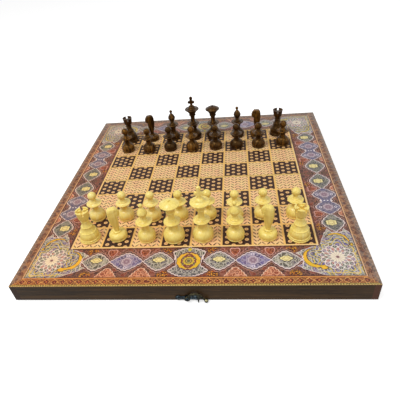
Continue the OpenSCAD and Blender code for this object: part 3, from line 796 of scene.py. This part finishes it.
prints = printed_veneer()
walnut_x = grained("walnut_along_x", (0.045, 1, 1), *WALNUT)
walnut_y = grained("walnut_along_y", (1, 0.045, 1), *WALNUT,
                   ends=(1, rgb(66, 38, 26), rgb(90, 56, 38)))
plywood = grained("plywood", (0.05, 1, 1), rgb(150, 112, 74), rgb(188, 150, 106),
                  rgb(212, 180, 136), gloss=0.6)
lined = lining()
brass = metal("hinge_brass", rgb(120, 84, 34), rgb(186, 140, 64), rgb(222, 180, 96),
              rgb(90, 70, 40))
# the last colour is a painted highlight on the faces of the hook and strike that look up
bronze = metal("aged_brass", rgb(18, 20, 18), rgb(30, 32, 26), rgb(72, 70, 50),
               rgb(30, 38, 36), top_highlight=rgb(166, 160, 122))
blackened = metal("blackened_brass", rgb(16, 22, 26), rgb(28, 36, 42), rgb(92, 108, 116),
                  rgb(34, 46, 54))
# the under colours are painted shade for faces that look down, and a small tint of each
# piece's own
boxwood = turned("boxwood", rgb(234, 208, 100), rgb(250, 226, 118), rgb(255, 240, 152),
                 under=rgb(204, 144, 44), streaks=0.08, coat=0.3, gloss=0.34)
sheesham = turned("dark_wood", rgb(16, 6, 2), rgb(46, 24, 8), rgb(142, 96, 34),
                  under=rgb(20, 7, 3), streaks=0.35, coat=0.02, gloss=0.28,
                  Specular_IOR_Level=0.38, Specular_Tint=rgb(255, 200, 120))

FINISH = (("_print", prints), ("_outer_rail", walnut_x), ("_hinge_rail", walnut_x),
          ("_left_rail", walnut_y), ("_right_rail", walnut_y), ("_panel", plywood),
          ("_lining", lined))


def finish_of(name):
    if name.startswith("light_"):
        return boxwood
    if name.startswith("dark_"):
        return sheesham
    if name.startswith("hinge_"):
        return brass
    if name.startswith(("hook_plate", "hook_rivet")):
        return blackened
    if name.startswith(("hook_", "strike_")):
        return bronze
    return next(material for ending, material in FINISH if name.endswith(ending))


for name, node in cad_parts.items():
    node.data.materials.clear()
    node.data.materials.append(finish_of(name))


# ---- knights, carved finer than their solids ----

# (height, place) along the muzzle's side and the mane's side, and (height, share of
# HALF_THICK), with heights and places as shares of the piece's height
NECK_FROM, HEAD_TO, HEAD_STEPS = 0.19, 0.965, 72
KNIGHT_FRONT = ((NECK_FROM, 0.055), (0.3, 0.061), (0.38, 0.076), (0.46, 0.092),
                (0.54, 0.103), (0.61, 0.105), (0.66, 0.1), (0.695, 0.104), (0.715, 0.132),
                (0.74, 0.163), (0.77, 0.177), (0.82, 0.18), (0.86, 0.174), (0.9, 0.156),
                (0.94, 0.126), (HEAD_TO, 0.098))
KNIGHT_BACK = ((NECK_FROM, -0.055), (0.3, -0.063), (0.37, -0.08), (0.45, -0.106),
               (0.54, -0.127), (0.63, -0.142), (0.72, -0.147), (0.84, -0.146),
               (0.9, -0.137), (0.94, -0.119), (HEAD_TO, -0.098))
KNIGHT_THICK = ((NECK_FROM, 0.6), (0.3, 0.68), (0.44, 0.84), (0.58, 0.96), (0.76, 1.03),
                (0.9, 1.0), (HEAD_TO, 0.88))
EYE, NOSTRIL, MOUTH = (0.085, 0.88), (0.155, 0.82), 0.752

# metres
HALF_THICK = 0.00525
FOOT_R, FOOT_STEP, FOOT_BEAD, COLLAR = 0.0136, 0.0029, 0.0047, 0.0018
FOOT_TOP, WAIST = 0.22, 0.42         # of the height, and of FOOT_R


def follow(points, at):
    """The value of a line of (place, value) points at a place."""
    for (p0, v0), (p1, v1) in zip(points, points[1:]):
        if at <= p1:
            t = max(0.0, (at - p0) / (p1 - p0))
            return v0 + (v1 - v0) * t
    return points[-1][1]


def bell(distance, width):
    return math.exp(-(distance / width) ** 2)


def share(value):
    return min(1.0, max(0.0, value))


def around(count):
    return [2 * math.pi * i / count for i in range(count)]


def arc(z0, r0, z1, r1, bow, steps):
    """Points of a turned outline between two places, bowed out by a height."""
    long = math.hypot(z1 - z0, r1 - r0)
    out = []
    for i in range(steps + 1):
        t = i / steps
        push = bow * 4 * t * (1 - t)
        out.append((r0 + (r1 - r0) * t + (z1 - z0) / long * push,
                    z0 + (z1 - z0) * t - (r1 - r0) / long * push))
    return out


def rings(mesh, loops):
    """Skin over loops of points that all have the same count, closed at both ends."""
    rows = [[mesh.verts.new(point) for point in loop] for loop in loops]
    count = len(rows[0])
    for low, high in zip(rows, rows[1:]):
        for i in range(count):
            j = (i + 1) % count
            mesh.faces.new((low[i], low[j], high[j], high[i]))
    mesh.faces.new(rows[0][::-1])
    mesh.faces.new(rows[-1])


def circle(r, z):
    return [(r * math.cos(a), r * math.sin(a), z) for a in around(48)]


def knight_section(t, h):
    """One level of the neck and head: flat cheeks, rounded front and back."""
    front = follow(KNIGHT_FRONT, t)
    back = follow(KNIGHT_BACK, t)
    thick = follow(KNIGHT_THICK, t) * HALF_THICK
    muzzle = share((t - 0.6) / 0.08)
    maned = share((t - 0.4) / 0.1)
    loop = []
    for a in around(56):
        ca, sa = math.cos(a), math.sin(a)
        x = (front + back) / 2 + (front - back) / 2 * math.copysign(abs(ca) ** 0.55, ca)
        y = thick * math.copysign(abs(sa) ** 0.55, sa)
        y *= 1 + 0.07 * bell(x, 0.07) * bell(t - 0.75, 0.07)
        y *= 1 - 0.34 * muzzle * share((x - 0.06) / 0.1)
        y *= 1 - 0.2 * bell(math.hypot(x - EYE[0], t - EYE[1]), 0.022)
        y *= 1 - 0.3 * bell(t - MOUTH, 0.01) * (x > 0.07)
        y *= 1 - 0.16 * bell(math.hypot(x - NOSTRIL[0], t - NOSTRIL[1]), 0.014)
        mane = share((-0.08 - x) / 0.02) * maned
        y *= 1 - mane * (0.05 + 0.08 * abs(math.sin(t * 46)))
        loop.append((x * h, y, t * h))
    return loop


def add_foot(mesh, h):
    """The turned foot, up to a collar under the neck."""
    top, waist = FOOT_TOP * h, WAIST * FOOT_R
    outline = [(0.84 * FOOT_R, 0)]
    outline += arc(0, 0.89 * FOOT_R, FOOT_STEP, 0.89 * FOOT_R, 0.0011, 6)
    outline += arc(FOOT_STEP, 0.9 * FOOT_R, FOOT_BEAD, FOOT_R, 0.0001, 4)[1:]
    outline += arc(FOOT_BEAD, FOOT_R, top, waist, 0.0028, 14)[1:]
    outline += arc(top, waist, top + COLLAR, waist, 0.0006, 5)
    rings(mesh, [circle(radius, z) for radius, z in outline])


def add_head(mesh, h):
    """Neck and head, with a crown that closes in two steps."""
    loops = [knight_section(NECK_FROM + (HEAD_TO - NECK_FROM) * i / HEAD_STEPS, h)
             for i in range(HEAD_STEPS + 1)]
    top = loops[-1]
    middle = sum(x for x, y, z in top) / len(top)
    for shrink, rise in ((0.93, 0.005), (0.55, 0.009)):
        loops.append([(middle + (x - middle) * shrink, y * shrink, z + rise * h)
                      for x, y, z in top])
    rings(mesh, loops)


def add_ear_and_eye(mesh, h, side):
    ear = []
    for t, size in ((0, 1), (0.4, 0.85), (0.75, 0.5), (1, 0.12)):
        forward = (0.045 + 0.03 * t) * h
        apart = side * (0.5 - 0.1 * t) * HALF_THICK
        up = (0.925 + 0.073 * t) * h
        ear.append([(forward + 0.022 * h * size * math.cos(a),
                     apart + 0.3 * HALF_THICK * size * math.sin(a), up)
                    for a in around(12)])
    rings(mesh, ear)
    centre = Vector((EYE[0] * h, side * 0.8 * HALF_THICK, EYE[1] * h))
    matrix = Matrix.Translation(centre) @ Matrix.Diagonal((1, 0.6, 1, 1))
    bmesh.ops.create_icosphere(mesh, subdivisions=2, radius=0.016 * h, matrix=matrix)


def carve_knight(node, turn):
    """A knight that faces along x, turned by that many degrees and put in its node's box."""
    low, high = (Vector(corner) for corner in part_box(node))
    h = high.z - low.z
    mesh = bmesh.new()
    add_foot(mesh, h)
    add_head(mesh, h)
    for side in (-1, 1):
        add_ear_and_eye(mesh, h, side)
    base = Vector(((low.x + high.x) / 2, (low.y + high.y) / 2, low.z))
    mesh.transform(Matrix.Translation(base) @ Matrix.Rotation(math.radians(turn), 4, "Z"))
    bmesh.ops.recalc_face_normals(mesh, faces=mesh.faces)
    data = bpy.data.meshes.new(node + "_carved")
    mesh.to_mesh(data)
    mesh.free()
    for face in data.polygons:
        face.use_smooth = True
    data.materials.append(finish_of(node))
    piece = bpy.data.objects.new(node + "_carved", data)
    scene.collection.objects.link(piece)
    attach(piece, node + "_lift")
    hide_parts(node)


for node, turn, slot in (("light_left_knight", 22, "boxwood"),
                         ("light_right_knight", 160, "boxwood"),
                         ("dark_left_knight", 205, "dark_wood"),
                         ("dark_right_knight", 180, "dark_wood")):
    carve_knight(node, turn)
